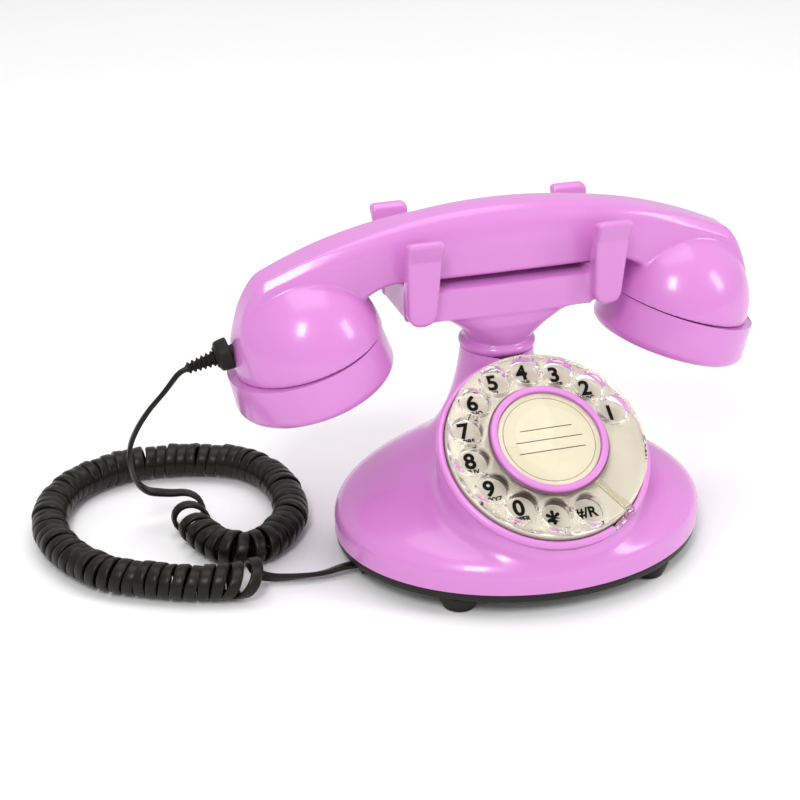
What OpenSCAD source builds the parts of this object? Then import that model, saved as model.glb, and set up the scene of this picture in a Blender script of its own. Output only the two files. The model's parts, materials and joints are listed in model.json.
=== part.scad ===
// Pedestal desk telephone with a rotary dial and a handset resting in a four-prong cradle.
// Origin: on the table under the middle of the oval base. +X to the user's right, -Y to the user, +Z up.
// All sizes are millimetres.

/* [Base] */
// Width of the oval base, left to right
base_w = 156; // [150:1:160]
// Depth of the oval base, front to back
base_d = 127.6; // [126:0.2:130]
// Height of the rubber feet
foot_h = 7; // [6:0.5:8]
// Thickness of the black bottom plate
plate_t = 4; // [3:0.5:5]
// Wall thickness of the moulded shells
wall = 2.6; // [2.2:0.1:3]

/* [Cradle and handset] */
// Distance of the cradle and handset behind the middle of the base
cradle_y = 28.6; // [27:0.1:29]
// Height of the prong tips above the table
prong_top = 137; // [135:0.5:138]
// Height of the middle of the handle's upper face
handle_top = 142; // [141:0.5:143]
// Depth of the handle in its middle
handle_depth = 27.8; // [27:0.2:28.4]
// Sideways tilt of each earpiece and mouthpiece
cup_tilt = 17.4; // [16:0.1:19]

/* [Dial] */
// Angle of the dial's face from upright
dial_lean = 55.85; // [55:0.05:57]
// Height of the middle of the dial face
dial_z = 55.5; // [55:0.1:56]
// Radius of the circle of finger holes
hole_ring_r = 32.9; // [32.5:0.1:33.2]
// Radius of each finger hole
finger_r = 6; // [5.4:0.1:6.2]

/* [Cord] */
// Outer diameter of the curled part of the handset cord
curl_d = 16; // [15:0.5:16.4]
// Width of the flat handset cord
cord_w = 4.8; // [4.4:0.1:5]

/* [Hidden] */

pink = "orchid";
dark = "#1e1c14";
steel = "silver";
brass = "#c9a24b";
clear = [0.92, 0.93, 0.9, 0.35];

// ---- base ----
base_a = base_w / 2;
base_b = base_d / 2;
shell_z = foot_h + plate_t;
skirt_top = 18;
neck_r = 15.5;
neck_top = 78.5;
oval_sides = 64;
foot_x = 41;
foot_y = 43;
screw_x = 58;
screw_y = 26;
post_r = 4;

// ---- dial frame: face_n is the outward direction of the dial's face ----
dial_y = -27.4;
bezel_r = 44;
bezel_in = 41.2;
plate_r = 40.9;
wheel_r = 40.6;
plate_s = 2;
wheel_lift = 2.8;
wheel_t = 4.4;
hub_r = 24.1;
label_r = 21;
hole_first = 17.5;
hole_step = 24.1;
hole_n = 12;
stop_angle = -58;
notch_w = 11;
frame_s = -7;
tub_s = -28;
tub_r = 34.5;
gear_teeth = 60;
pinion_teeth = 12;
gear_m = 0.8;
governor_angle = 198;

// ---- handset ----
cup_x = 84;
cup_z = 88;
cap_r = 32.8;
rim_r = 33.9;
cap_h = 18.8;
dome_x = 82;
dome_z = 88.5;
dome_r = 31.8;
handle_w = 25;
arc_r = 248;

// ---- hook ----
rod_r = 2.5;
bar_z = 105.2;
rest_z = handle_top - handle_depth + 0.5;

// ---- cord: the route of the handset lead, its curl and its tail ----
lead_route = [[-133.4, 28.6, 84.4], [-135.2, 28.6, 83.6], [-138, 28.6, 80.4], [-142, 28.7, 75.5],
    [-148, 29, 69], [-153, 30.5, 61], [-156, 33.5, 52], [-156, 38, 43], [-154.5, 44, 34],
    [-151.5, 50, 25], [-147, 54.5, 18.5], [-141.5, 56.8, 15.6], [-136, 56.8, 14.4]];
curl_route = [[-131, 54, 8], [-131, 42, 8], [-128, 28, 8], [-122, 17, 8], [-112, 13, 8],
    [-100, 20, 8], [-90, 35, 8], [-87, 54, 8], [-90, 74, 8], [-100, 89, 8], [-116, 97, 8],
    [-133, 101, 8], [-150, 101, 8], [-166, 95, 8], [-179, 84, 8], [-187, 68, 8],
    [-189, 50, 8], [-185, 32, 8], [-174, 13, 8], [-160, 3, 8], [-147, -4, 8],
    [-136, -8, 8], [-126, -10, 8], [-117, -10, 8]];
tail_route = [[-114, -4.6, 5.4], [-111, -5, 3.8], [-106, -5.8, 2.8], [-97, -7.2, 2.6], [-87, -8, 2.8],
    [-79, -8, 4.2], [-72.1, -8, 4.4]];

// ---------- helpers ----------
function power(v, e) = sign(v) * pow(abs(v), e);
function oval(a, b, cy, z, n = 2, sides = oval_sides) =
    [for (i = [0:sides - 1]) let (t = 360 * i / sides)
        [a * power(cos(t), 2 / n), cy + b * power(sin(t), 2 / n), z]];
function bezier(p, t) = pow(1 - t, 3) * p[0] + 3 * t * pow(1 - t, 2) * p[1]
    + 3 * t * t * (1 - t) * p[2] + pow(t, 3) * p[3];

// Closed solid through a list of rings that all have the same number of points
module loft(rings) {
    m = len(rings);
    k = len(rings[0]);
    points = [for (r = rings, p = r) p];
    sides = [for (j = [0:m - 2], i = [0:k - 1]) let (i2 = (i + 1) % k)
        each [[j * k + i, (j + 1) * k + i, j * k + i2], [j * k + i2, (j + 1) * k + i, (j + 1) * k + i2]]];
    caps = [[for (i = [0:k - 1]) i], [for (i = [k - 1:-1:0]) (m - 1) * k + i]];
    polyhedron(points, concat(sides, caps), convexity = 6);
}

// Tube of a round section along a route; it is swept without twist from the first ring on
function unit(v) = v / norm(v);
function tangent(p, i) = unit(p[min(i + 1, len(p) - 1)] - p[max(i - 1, 0)]);
function side_of(t) = unit(cross(t, [0.02, 0.03, 1]));
module tube(route, r, sides) {
    loft([for (i = [0:len(route) - 1])
        let (t = tangent(route, i), s = side_of(t), u = cross(s, t))
        [for (k = [0:sides - 1]) route[i] + r * (cos(360 * k / sides) * s + sin(360 * k / sides) * u)]]);
}
// Points of a smooth curve through the route, each span cut into n steps
function spline(p, n) = [for (i = [0:len(p) - 2], j = [0:n - 1])
    let (t = j / n, a = p[max(i - 1, 0)], b = p[i], c = p[i + 1], d = p[min(i + 2, len(p) - 1)])
    0.5 * (2 * b + (c - a) * t + (2 * a - 5 * b + 4 * c - d) * t * t + (3 * b - a - 3 * c + d) * t * t * t),
    p[len(p) - 1]];

// Dial space: the origin is the middle of the bezel's face, +Z out of the dial, +X right, +Y up its face
module on_dial() {
    translate([0, dial_y, dial_z]) rotate([90 - dial_lean, 0, 0]) children();
}
module ring(r_out, r_in, h, z = 0) {
    translate([0, 0, z]) rotate_extrude($fn = 120) translate([r_in, 0]) square([r_out - r_in, h]);
}
// Cup space: the origin is on the cup's axis at the step line, +Z out of the mouthpiece
module in_cup(side) {
    translate([side * cup_x, cradle_y, cup_z]) rotate([180, side * cup_tilt, 0]) children();
}
module at_screws() {
    for (sx = [-1, 1], sy = [-1, 1]) translate([sx * screw_x, sy * screw_y, 0]) children();
}

// ---------- base ----------
function bell_half(a) = [a, base_b + (neck_r - base_b) * (base_a - a) / (base_a - neck_r)];
function bell_shift(a) = cradle_y * (base_a - a) / (base_a - neck_r);
shoulder = [[base_a, skirt_top], [base_a - 1, 28], [57, 32], [36, 39.2]];
flare = [[36, 39.2], [26, 43], [17.3, 55], [neck_r, neck_top]];
function bell_ring(p, gap) = let (h = bell_half(p[0]))
    oval(h[0] - gap, h[1] - gap, bell_shift(p[0]), p[1]);
function bell_rings(gap, drop) = concat(
    [bell_ring([base_a, shell_z - (gap > 0 ? 1 : 0)], gap)],
    [for (i = [0:7]) bell_ring(bezier(shoulder, i / 8) - [0, drop], gap)],
    [for (i = [0:8]) bell_ring(bezier(flare, i / 8) - [0, i == 8 && drop > 0 ? -1 : drop], gap)]);

module base_shell() {
    color(pink) difference() {
        union() {
            loft(bell_rings(0, 0));
            on_dial() translate([0, 0, -16]) rotate_extrude($fn = 120)
                polygon([[0, 0], [47, 0], [45, 3], [43.6, 7], [43, 11], [42.8, 13], [0, 13]]);
            intersection() {
                on_dial() translate([0, 0, tub_s - 2])
                    cylinder(r1 = tub_r + 2.5, r2 = 41.3, h = 14, $fn = 120);
                translate([-60, -80, shell_z]) cube([120, 120, 80]);
            }
        }
        loft(bell_rings(wall, 2.4));
        on_dial() translate([0, 0, -13]) cylinder(r = 38.5, h = 15, $fn = 120);
        on_dial() translate([0, 0, tub_s]) cylinder(r1 = tub_r, r2 = 38.5, h = -13 - tub_s, $fn = 120);
        translate([9.6, 50, shell_z - 1]) cube([14.2, 20, 14]);
        translate([-29, 50, shell_z + 3]) cube([14, 20, 4.4]);
    }
}
module base_plate() {
    color(dark) difference() {
        union() {
            translate([0, 0, foot_h]) linear_extrude(plate_t - 0.1)
                polygon([for (p = oval(base_a - 0.5, base_b - 0.5, 0, 0)) [p[0], p[1]]]);
            translate([0, 0, foot_h]) at_screws() cylinder(r = post_r, h = 7, $fn = 40);
        }
        translate([0, 0, foot_h - 1]) at_screws() cylinder(r = 1.6, h = 20, $fn = 40);
        for (sx = [-1, 1], sy = [-1, 1]) translate([sx * foot_x, sy * foot_y, foot_h - 1])
            cylinder(r = 3, h = plate_t + 2, $fn = 40);
        translate([0, 0, foot_h - 1]) cylinder(r = 2, h = plate_t + 2, $fn = 40);
    }
}
module rubber_feet() {
    color(dark) for (sx = [-1, 1], sy = [-1, 1]) translate([sx * foot_x, sy * foot_y, 0]) {
        rotate_extrude($fn = 60) polygon([[0, 0], [6.4, 0], [7.4, 1], [9, foot_h], [0, foot_h]]);
        translate([0, 0, foot_h]) cylinder(r = 2.95, h = plate_t, $fn = 40);
    }
}
module base_screws() {
    color(steel) at_screws() {
        translate([0, 0, foot_h - 1.6]) cylinder(r = 3, h = 1.6, $fn = 40);
        translate([0, 0, foot_h]) cylinder(r = 1.55, h = 9, $fn = 40);
    }
}
module ballast_weight() {
    color("dimgray") translate([-32, -46, shell_z]) difference() {
        cube([64, 22, 6]);
        for (x = [8, 56]) translate([x, 11, -1]) cylinder(r = 2, h = 8, $fn = 40);
    }
}
module main_board() {
    color("darkgreen") translate([-42, -20, shell_z + 4]) difference() {
        cube([84, 24, 1.6]);
        for (x = [4, 80]) translate([x, 12, -1]) cylinder(r = 1.6, h = 4, $fn = 30);
    }
    color("black") {
        translate([-30, -14, shell_z + 5.6]) cube([16, 10, 3]);
        translate([14, -14, shell_z + 5.6]) cube([8, 8, 2.4]);
    }
    color("royalblue") for (x = [0, 28]) translate([x, -10, shell_z + 5.6])
        cylinder(r = 3.2, h = 7, $fn = 40);
    color(dark) for (x = [-38, 38]) translate([x, -8, shell_z]) cylinder(r = 3, h = 4, $fn = 30);
}
module line_jack() {
    color(dark) difference() {
        translate([10, 46.5, shell_z]) cube([13.4, 14, 12.5]);
        translate([11.7, 50, shell_z + 2.5]) cube([10, 12, 8]);
    }
}
module ringer_switch() {
    color(dark) difference() {
        translate([-31, 46, shell_z]) cube([18, 7, 10]);
        translate([-28, 47.5, shell_z + 3]) cube([12, 10, 4.4]);
    }
}
module ringer_slider() {
    color("dimgray") translate([-27.7, 48, shell_z + 3.2]) cube([4.5, 13.5, 4]);
}
module cord_gland() {
    color(dark) translate([-72, -12, 1.9]) cube([10, 8, foot_h - 1.9]);
}

// ---------- cradle and hook ----------
function arch(t) = [33.5 - 18.9 * power(cos(90 * t), 1.4), 84 + 14.5 * power(sin(90 * t), 1.4)];
module prong(top_y, w_top, w_low) {
    // prong with its root at the saddle; local +Y points away from the handset
    intersection() {
        rotate([90, 0, 0]) linear_extrude(80, center = true)
            polygon(concat(
                [for (a = [180:15:360]) [w_low * cos(a), 105 + w_low * sin(a)]],
                [[w_top - 0.4, 130]],
                [for (a = [0:30:90]) [w_top - 2.5 + 2.5 * cos(a), prong_top - 2.5 + 2.5 * sin(a)]],
                [for (a = [90:30:180]) [-w_top + 2.5 + 2.5 * cos(a), prong_top - 2.5 + 2.5 * sin(a)]],
                [[-w_top + 0.4, 130]]));
        rotate([90, 0, 90]) linear_extrude(40, center = true)
            polygon([[14.2, 98], [21, 98], [22.6, 101], [24.4, 128], [top_y, prong_top - 1.5],
                [top_y - 0.8, prong_top], [top_y - 3, prong_top], [top_y - 5.5, prong_top - 1.5],
                [17, 122], [15.2, 114.2], [14.2, 112]]);
    }
}
module cradle() {
    color(pink) difference() {
        union() {
            translate([0, cradle_y, 0]) {
                loft([for (i = [0:8]) let (q = arch(i / 8), n = 2 + 3 * i / 8, d = 14.6 + 2 * min(1, i / 4))
                    oval(q[0], d, 0, q[1], n, 48)]);
                translate([-35.2, -16.8, 98.2]) cube([70.4, 33.6, 13.3]);
                for (sx = [-1, 1]) translate([sx * 40, 0, 0]) {
                    for (a = [0, 180]) rotate(a) prong(27.2, 7.7, 6);
                    translate([-5.5, -16, 102.3]) cube([11, 32, rest_z - 102.6]);
                }
                rotate_extrude($fn = 96) polygon(concat([[0, neck_top], [15, neck_top]],
                    [for (a = [-60:20:60]) [14.2 + 2.1 * cos(a), neck_top + 2.1 + 2.1 * sin(a)]],
                    [[14.2, 83], [14.2, 85.2], [0, 85.2]]));
                translate([0, 0, 70]) cylinder(r = neck_r - wall - 0.6, h = 10, $fn = 80);
            }
        }
        translate([0, cradle_y, 60]) cylinder(r = rod_r + 0.05, h = 60, $fn = 60);
        translate([-31, cradle_y - 4, 104]) cube([62, 8, 10]);
        translate([0, cradle_y, 69]) cylinder(r = 7, h = 10, $fn = 60);
    }
}
module cradle_nut() {
    color(steel) translate([0, cradle_y, 66.5]) difference() {
        cylinder(r = 9, h = 3, $fn = 6);
        translate([0, 0, -1]) cylinder(r = 4, h = 8, $fn = 50);
    }
}
module hook_bar() {
    color(pink) translate([-29, cradle_y - 3, bar_z]) cube([58, 6, rest_z - 0.3 - bar_z]);
}
module hook_rod() {
    color(steel) translate([0, cradle_y, 0]) {
        translate([0, 0, 39.5]) cylinder(r = rod_r, h = bar_z - 39.5, $fn = 60);
        translate([0, 0, 49.9]) cylinder(r = 5.8, h = 1.6, $fn = 50);
    }
}
module hook_spring() {
    color(steel) translate([0, cradle_y, 39.3]) ring(5.6, 4.6, 10.4);
}
module hook_switch() {
    color("black") difference() {
        translate([-6.5, cradle_y - 10, 31]) cube([13, 20, 8.2]);
        translate([0, cradle_y, 30]) cylinder(r = 1, h = 12, $fn = 30);
    }
}
module hook_bracket() {
    color(steel) {
        translate([-8, cradle_y - 11, shell_z]) cube([16, 22, 1.6]);
        translate([-8, cradle_y + 10.4, shell_z]) cube([16, 1.6, 27]);
        translate([-8, cradle_y - 10, 29.2]) cube([16, 21, 1.6]);
    }
}

// ---------- dial ----------
module dial_bezel() {
    color(pink) on_dial() difference() {
        rotate_extrude($fn = 160) polygon(concat([[bezel_in, -2.9], [bezel_r - 0.5, -2.9]],
            [for (a = [-20:20:160]) [bezel_r - 1.6 + 1.6 * cos(a), -0.9 + 1.6 * sin(a)]], [[bezel_in, 0]]));
        rotate(stop_angle) translate([bezel_in - 1, -notch_w / 2, -4]) cube([6, notch_w, 8]);
    }
}
module number_plate() {
    color("#c8c0ac") on_dial() difference() {
        translate([0, 0, -0.6]) cylinder(r = plate_r, h = plate_s + 0.6, $fn = 160);
        translate([0, 0, -1]) cylinder(r = 6, h = 4, $fn = 60);
    }
}
module finger_stop() {
    color(clear) on_dial() rotate(stop_angle) {
        translate([hub_r + 0.8, -1.6, wheel_lift + wheel_t + 0.5]) cube([bezel_r - hub_r - 1.6, 3.2, 1.5]);
        translate([bezel_in + 0.6, -notch_w / 2 + 0.3, -2.9]) cube([1.6, notch_w - 0.6, 5.2]);
        translate([bezel_in + 0.6, -1.6, 2]) cube([1.6, 3.2, wheel_lift + wheel_t]);
    }
}
module dial_frame() {
    color(steel) on_dial() difference() {
        union() {
            translate([0, 0, frame_s]) cylinder(r = 38, h = 1.6, $fn = 120);
            translate([0, 0, frame_s]) ring(38, 36.4, 6.3);
        }
        translate([0, 0, frame_s - 1]) cylinder(r = 6, h = 4, $fn = 60);
        for (a = [30, 150, 270]) rotate(a) translate([33, 0, frame_s - 1])
            cylinder(r = 1.6, h = 4, $fn = 30);
    }
}
module dial_bushing() {
    color(brass) on_dial() translate([0, 0, -22]) ring(5.9, 4.05, 20);
}
module return_spring() {
    color("gray") on_dial() translate([0, 0, -13]) ring(13, 6.2, 4.4);
}
module pulse_contacts() {
    color(brass) on_dial() for (k = [0, 1]) rotate(-60)
        translate([16 + 2.4 * k, -12, -13.4]) cube([0.5, 18, 5]);
    color(dark) on_dial() rotate(-60) translate([14.5, -20, -13.4]) cube([6.5, 7, 6.2]);
}
module dial_screws() {
    color(steel) on_dial() for (a = [30, 150, 270]) rotate(a) translate([33, 0, 0]) {
        translate([0, 0, frame_s - 8]) cylinder(r = 1.5, h = 9.4, $fn = 30);
        translate([0, 0, frame_s + 1.6]) cylinder(r = 2.8, h = 1.4, $fn = 30);
    }
}
module finger_wheel() {
    color(clear) on_dial() translate([0, 0, wheel_lift]) difference() {
        cylinder(r = wheel_r, h = wheel_t, $fn = 160);
        for (k = [0:hole_n - 1]) rotate(hole_first + k * hole_step)
            translate([hole_ring_r, 0, -1]) cylinder(r = finger_r, h = 8, $fn = 60);
        translate([0, 0, -1]) cylinder(r = 4, h = 9, $fn = 60);
    }
}
module hub_ring() {
    color(pink) on_dial() translate([0, 0, wheel_lift + wheel_t]) ring(hub_r, label_r, 2.4);
}
module label_card() {
    color("#e5dcc0") on_dial() translate([0, 0, wheel_lift + wheel_t])
        cylinder(r = label_r - 0.1, h = 0.4, $fn = 120);
}
module label_lens() {
    color(clear) on_dial() translate([0, 0, wheel_lift + wheel_t + 0.4])
        cylinder(r = label_r - 0.1, h = 1.2, $fn = 120);
}
module dial_shaft() {
    color(steel) on_dial() translate([0, 0, -25])
        cylinder(r = 4, h = 25 + wheel_lift + wheel_t, $fn = 60);
}
module gear(teeth, m, h, bore) {
    pitch_r = teeth * m / 2;
    difference() {
        linear_extrude(h) polygon([for (i = [0:teeth - 1], k = [0:3])
            let (a = 360 * (i + [-0.29, -0.13, 0.13, 0.29][k]) / teeth,
                 r = pitch_r + m * [-1.15, 0.85, 0.85, -1.15][k])
            r * [cos(a), sin(a)]]);
        translate([0, 0, -1]) cylinder(r = bore, h = h + 2, $fn = 60);
    }
}
gear_gap = (gear_teeth + pinion_teeth) * gear_m / 2;
module drive_gear() {
    color(brass) on_dial() translate([0, 0, -25]) gear(gear_teeth, gear_m, 2.4, 4);
}
module at_governor() {
    on_dial() rotate(governor_angle) translate([gear_gap, 0, 0]) children();
}
module governor_pinion() {
    color(steel) at_governor() {
        translate([0, 0, -25]) rotate(180 / pinion_teeth) gear(pinion_teeth, gear_m, 2.4, 1.2);
        translate([0, 0, -26.5]) cylinder(r = 1.2, h = 16, $fn = 40);
    }
}
module governor_cup() {
    color(brass) at_governor() translate([0, 0, -19.5]) difference() {
        cylinder(r = 6.5, h = 6, $fn = 60);
        translate([0, 0, 1.5]) cylinder(r = 5.5, h = 6, $fn = 60);
        translate([0, 0, -1]) cylinder(r = 1.2, h = 4, $fn = 40);
    }
}
module governor_bridge() {
    color(steel) at_governor() difference() {
        union() {
            translate([-4, -8.5, -10.8]) cube([8, 17, 1.6]);
            for (y = [-9.5, 7.9]) translate([-4, y, -10.8]) cube([8, 1.6, 3.8]);
        }
        translate([0, 0, -12]) cylinder(r = 1.25, h = 4, $fn = 40);
    }
}

// ---------- ringer ----------
gong_x = -30;
gong_y = 27;
gong_r = 18;
module gong() {
    color(brass) translate([gong_x, gong_y, 18]) difference() {
        rotate_extrude($fn = 100) difference() {
            intersection() { circle(r = gong_r, $fn = 90); square([gong_r, 12]); }
            circle(r = gong_r - 1.4, $fn = 90);
        }
        translate([0, 0, -1]) cylinder(r = 1.5, h = 30, $fn = 40);
    }
    color(brass) translate([gong_x, gong_y, 29]) difference() {
        cylinder(r = 13.2, h = 1, $fn = 80);
        translate([0, 0, -1]) cylinder(r = 1.6, h = 4, $fn = 40);
    }
}
module gong_post() {
    color(steel) translate([gong_x, gong_y, shell_z]) {
        cylinder(r = 1.6, h = 22, $fn = 40);
        cylinder(r = 4, h = 17.9, $fn = 40);
    }
}
module ringer_coil() {
    color("#8a3b1c") translate([38, 17.2, 22]) rotate([-90, 0, 0]) difference() {
        cylinder(r = 7, h = 16, $fn = 60);
        translate([0, 0, -1]) cylinder(r = 3, h = 20, $fn = 40);
    }
}
module ringer_yoke() {
    color("gray") {
        translate([31, 34, shell_z]) cube([14, 1.6, 18]);
        translate([9, 8, shell_z]) cube([36, 27.6, 1.6]);
        translate([38, 14.6, 22]) rotate([-90, 0, 0]) cylinder(r = 2.9, h = 20, $fn = 40);
        translate([14, 12, shell_z]) difference() {
            cylinder(r = 3.2, h = 10, $fn = 50);
            translate([0, 0, 1.6]) cylinder(r = 1.55, h = 10, $fn = 50);
        }
    }
}
module clapper() {
    color(steel) translate([14, 12, 24]) {
        translate([0, 0, -11]) cylinder(r = 1.5, h = 13, $fn = 50);
        translate([-1, -0.6, -3]) cube([30, 1.2, 5]);
        translate([-24, -0.8, -0.8]) cube([25, 1.6, 1.6]);
        translate([-25, 2, 0]) sphere(r = 3, $fn = 40);
    }
}

// ---------- handset ----------
function handle_z(x) = handle_top - arc_r + sqrt(arc_r * arc_r - x * x)
    - 0.1 * pow(max(0, abs(x) - 100), 2);
function handle_low(x) = let (u = min(1, max(0, (abs(x) - 46) / 20)))
    rest_z - 10 * u * u - 0.35 * max(0, abs(x) - 66);
function handle_half(x) = handle_w / 2 - 4 * pow(min(1, abs(x) / 100), 2);
// Flat-sided section with its upper corners cut off
function handle_ring(x) = let (w = handle_half(x), t = handle_z(x), b = handle_low(x), c = 5)
    [for (q = [[1.5 - w, b], [w - 1.5, b], [w, b + 2], [w, t - c], [w - 1.2, t - 1.6],
        [w - c, t], [c - w, t], [1.2 - w, t - 1.6], [-w, t - c], [-w, b + 2]]) [x, cradle_y + q[0], q[1]]];
module handle_body() {
    loft([for (i = [-22:22]) handle_ring(i * 5)]);
}
module cup_half(side, r, z_shift) {
    difference() {
        translate([side * dome_x, cradle_y, dome_z]) sphere(r = r, $fn = 96);
        in_cup(side) translate([-60, -60, z_shift]) cube([120, 120, 120]);
    }
}
module handset_shell() {
    color(pink) difference() {
        union() {
            handle_body();
            for (s = [-1, 1]) cup_half(s, dome_r, 0);
        }
        for (s = [-1, 1]) {
            cup_half(s, dome_r - wall, 3);
            in_cup(s) translate([-60, -60, 0]) cube([120, 120, 60]);
        }
        translate([-44, cradle_y - 7.5, 119.5]) cube([88, 15, 11.5]);
        for (s = [-1, 1]) translate([s * 40, cradle_y, 127]) rotate([0, s * 120, 0])
            cylinder(r = 3, h = 44, $fn = 40);
        on_boot() translate([0, 0, -8]) cylinder(r = 3, h = 16, $fn = 40);
        on_boot() translate([0, 0, 2.35]) cylinder(r = 7.6, h = 6, $fn = 60);
    }
}
module cap(side, face_holes) {
    in_cup(side) difference() {
        rotate_extrude($fn = 120) polygon(concat(
            [[0, cap_h - 4.5], [20, cap_h - 3.4], [27, cap_h - 0.6]],
            [for (a = [90:-22.5:0]) [rim_r - 4.5 + 4.5 * cos(a), cap_h - 4.5 + 4.5 * sin(a)]],
            [[cap_r, 0], [cap_r - wall, 0], [rim_r - wall, cap_h - 6],
                [rim_r - 8, cap_h - 7.4], [0, cap_h - 7.4]]));
        for (r = [6, 12], k = [0:(r == 6 ? 5 : 11)]) if (face_holes)
            rotate(k * 360 / (r == 6 ? 6 : 12)) translate([r, 0, 0]) cylinder(r = 1.1, h = 30, $fn = 24);
        cylinder(r = face_holes ? 1.1 : 4, h = 30, $fn = 30);
    }
}
module receiver_cap() {
    color(pink) cap(1, true);
}
module transmitter_cap() {
    color(pink) cap(-1, true);
}
module capsule(side) {
    in_cup(side) translate([0, 0, 2]) {
        cylinder(r = 24, h = 7, $fn = 80);
        translate([0, 0, -5]) cylinder(r = 14, h = 5, $fn = 60);
    }
}
module receiver_capsule() {
    color("gainsboro") capsule(1);
}
module microphone_capsule() {
    color("gainsboro") capsule(-1);
}
module capsule_gaskets() {
    color("black") for (s = [-1, 1]) in_cup(s) ring(23, 18, 2.2, 9.1);
}
module handset_weight() {
    color("dimgray") translate([-35, cradle_y - 6, 120.2]) cube([70, 12, 8]);
}
// Boot space: the origin is on the left dome's surface, +Z along the boot towards the cord
module on_boot() {
    translate([-112, cradle_y, 90.3]) rotate([0, -105, 0]) children();
}
module cord_boot() {
    color(dark) on_boot() rotate_extrude($fn = 48)
        polygon(concat([[0, -5], [2.9, -5], [2.9, 2.4], [6.6, 2.4], [6.7, 4], [6.3, 6.8],
            [5.3, 8], [4.4, 8.3], [4.3, 8.9]],
            [for (i = [0:5], q = [[3.3, 9.1], [3.3, 10.1], [2.4, 10.3], [2.4, 11]])
                q + i * [-0.17, 2.05]],
            [[0, 21.3]]));
}

// ---------- cord ----------
module cord_lead() {
    color(dark) tube(spline(lead_route, 2), cord_w / 2, 8);
}
module cord_curl() {
    color(dark) tube(spline(curl_route, 2), curl_d / 2, 12);
}
module cord_tail() {
    color(dark) tube(spline(tail_route, 2), cord_w / 2, 8);
}

base_plate();
base_shell();
rubber_feet();
base_screws();
ballast_weight();
main_board();
line_jack();
ringer_switch();
ringer_slider();
cord_gland();
cradle();
cradle_nut();
hook_bar();
hook_rod();
hook_spring();
hook_switch();
hook_bracket();
dial_bezel();
number_plate();
finger_stop();
dial_frame();
dial_bushing();
return_spring();
pulse_contacts();
dial_screws();
finger_wheel();
hub_ring();
label_card();
label_lens();
dial_shaft();
drive_gear();
governor_pinion();
governor_cup();
governor_bridge();
gong();
gong_post();
ringer_coil();
ringer_yoke();
clapper();
handset_shell();
receiver_cap();
transmitter_cap();
receiver_capsule();
microphone_capsule();
capsule_gaskets();
handset_weight();
cord_boot();
cord_lead();
cord_curl();
cord_tail();
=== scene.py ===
"""Desk telephone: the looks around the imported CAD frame.

Moulded parts are made from distance fields in millimetres, in the row frame or in the dial's own space,
and turned into smooth meshes by surface(). Everything else is turned, swept or typeset.
"""

import json
import math

import bmesh
import bpy
import numpy as np
from mathutils import Matrix, Vector


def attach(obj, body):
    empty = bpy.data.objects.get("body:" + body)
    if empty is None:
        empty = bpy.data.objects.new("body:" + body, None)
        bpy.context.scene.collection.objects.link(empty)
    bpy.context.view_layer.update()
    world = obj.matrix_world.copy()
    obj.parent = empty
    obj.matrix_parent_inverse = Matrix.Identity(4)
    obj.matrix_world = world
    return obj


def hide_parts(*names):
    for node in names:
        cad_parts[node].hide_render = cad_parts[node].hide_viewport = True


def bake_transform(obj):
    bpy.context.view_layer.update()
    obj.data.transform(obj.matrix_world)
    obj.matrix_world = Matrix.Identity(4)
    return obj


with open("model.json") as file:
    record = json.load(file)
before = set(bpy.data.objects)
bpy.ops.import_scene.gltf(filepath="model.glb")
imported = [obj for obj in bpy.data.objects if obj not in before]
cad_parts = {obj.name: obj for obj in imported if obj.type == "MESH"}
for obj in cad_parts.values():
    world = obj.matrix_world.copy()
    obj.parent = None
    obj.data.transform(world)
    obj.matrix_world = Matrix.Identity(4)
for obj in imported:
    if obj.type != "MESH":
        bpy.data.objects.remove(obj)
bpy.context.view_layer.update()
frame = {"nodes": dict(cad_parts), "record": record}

MM = 0.001
FINE = 1.0

# ---------------------------------------------------------------- camera
VIEW_TURN = math.radians(17.85)
VIEW_TILT = math.radians(25.72)
scene = bpy.context.scene
lens = bpy.data.cameras.new("camera")
lens.lens = 81
lens.sensor_width = 36
camera = bpy.data.objects.new("camera", lens)
camera.location = (-0.2512, -0.6189, 0.3855)
camera.rotation_euler = (math.pi / 2 - VIEW_TILT, 0, -VIEW_TURN)
scene.collection.objects.link(camera)
scene.camera = camera

# ---------------------------------------------------------------- driving sizes, as in the CAD source (mm)
BASE_A, BASE_B = 78.0, 63.8
SHELL_Z = 11.0
CRADLE_Y = 28.6
NECK_R, NECK_TOP = 15.5, 78.5
DIAL_Y, DIAL_Z = -27.4, 55.5
DIAL_TILT = math.radians(90 - 55.85)
PLATE_S, WHEEL_S, WHEEL_T = 2.0, 2.8, 4.4
WHEEL_TOP = WHEEL_S + WHEEL_T
WHEEL_R, PLATE_R, BEZEL_R, BEZEL_IN = 40.6, 40.9, 44.0, 41.2
HUB_R, LABEL_R = 24.1, 21.0
HOLE_RING_R, FINGER_R = 32.9, 6.0
HOLE_FIRST, HOLE_STEP, HOLE_N = 17.5, 24.1, 12
STOP_ANGLE, NOTCH_W = -58.0, 11.0
CUP_X, CUP_Z, CUP_TILT = 84.0, 88.0, math.radians(17.4)
CAP_R, RIM_R, CAP_H = 32.8, 33.9, 18.8
DOME_X, DOME_Z, DOME_R = 82.0, 88.5, 31.5
HANDLE_TOP, HANDLE_W, ARC_R, REST_Z = 142.0, 25.0, 248.0, 114.7
PRONG_TOP = 137.0
CORD_W, CORD_T, CURL_D = 4.8, 2.1, 16.3
SHELL_WALL, HANDSET_WALL = 2.0, 2.4
SADDLE_LOW, SADDLE_TOP = 84.0, 111.5

dial_space = (Matrix.Scale(MM, 4) @ Matrix.Translation((0, DIAL_Y, DIAL_Z)) @ Matrix.Rotation(DIAL_TILT, 4, "X"))
row_space = Matrix.Scale(MM, 4)


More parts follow.
